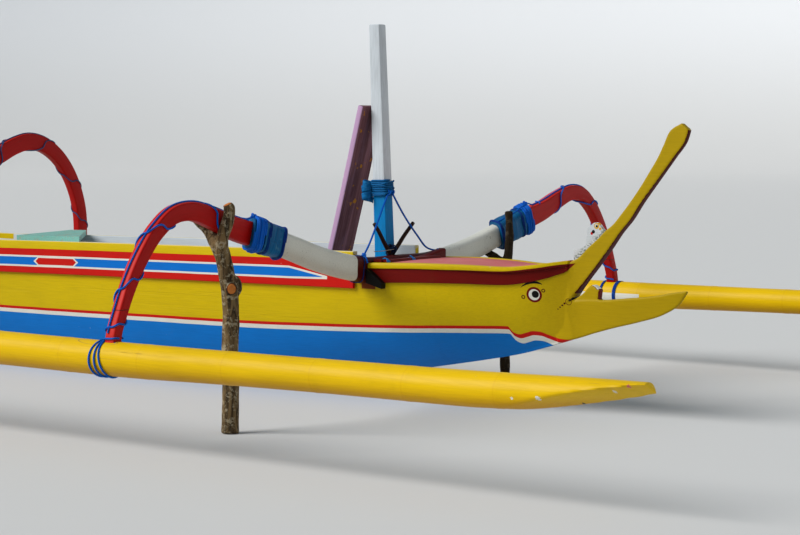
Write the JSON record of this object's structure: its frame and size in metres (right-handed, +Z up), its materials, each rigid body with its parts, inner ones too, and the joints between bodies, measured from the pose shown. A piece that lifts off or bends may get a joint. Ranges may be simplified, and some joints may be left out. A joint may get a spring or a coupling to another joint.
{
  "type": "outrigger canoe",
  "caption": "Beached outrigger canoe with a carved long-jawed bow, arched arms bound to pole floats, a short raked mast and forked branch props.",
  "frame": {"origin": "middle of the object's box in plan, on the sand that the keel and the two forked props stand on", "axes": "+X towards the bow, +Y to port, +Z up"},
  "size_m": [7.828, 3.94, 1.75],
  "materials": {
    "hull_yellow": "brushed gloss enamel on wood",
    "white_paint": "aged enamel on wood",
    "red_paint": "enamel on wood",
    "dark_red_paint": "enamel on wood, in shade",
    "pink_paint": "faded enamel on wood",
    "turquoise_paint": "chalky paint on a board",
    "mast_blue": "enamel on wood, white above",
    "rubber_wrap": "stretched rubber strip",
    "rope": "laid plastic rope",
    "float_yellow": "gloss enamel on bamboo",
    "black_paint": "dull black paint",
    "bark": "rough bark",
    "weathered_wood": "bare board with old paint",
    "bare_wood": "worn bare wood"
  },
  "bodies": {
    "root": {"hull_shell": "hull_yellow", "bow_head": "hull_yellow", "stern_fin": "hull_yellow", "foredeck": "pink_paint", "stern_deck": "pink_paint", "bow_crest": "white_paint", "washstrake_port": "hull_yellow", "washstrake_stbd": "hull_yellow", "bow_cap_port": "hull_yellow", "bow_cap_stbd": "hull_yellow", "bow_strake_port": "dark_red_paint", "bow_strake_stbd": "dark_red_paint", "stern_cap_port": "hull_yellow", "stern_cap_stbd": "hull_yellow", "stern_strake_port": "dark_red_paint", "stern_strake_stbd": "dark_red_paint", "float_port": "float_yellow", "float_stbd": "float_yellow", "fore_arm_port": "red_paint", "fore_arm_stbd": "red_paint", "aft_arm_port": "red_paint", "aft_arm_stbd": "red_paint", "fore_wrap_port": "rubber_wrap", "fore_wrap_stbd": "rubber_wrap", "aft_wrap_port": "rubber_wrap", "aft_wrap_stbd": "rubber_wrap", "mast_stay_port": "rope", "mast_stay_stbd": "rope", "beam_chock_port": "black_paint", "beam_chock_stbd": "black_paint", "fore_beam": "white_paint", "aft_beam": "white_paint", "beam_board": "dark_red_paint", "mast_partner": "white_paint", "mast_step": "bare_wood", "mast": "mast_blue", "leaning_plank": "weathered_wood", "crotch_sticks": "bare_wood", "thwart_fore": "white_paint", "thwart_mid": "white_paint", "thwart_aft": "hull_yellow", "seat_board": "turquoise_paint", "sole_board": "bare_wood", "fork_prop_stbd": "bark", "fork_prop_port": "bark"}
  },
  "joints": []
}
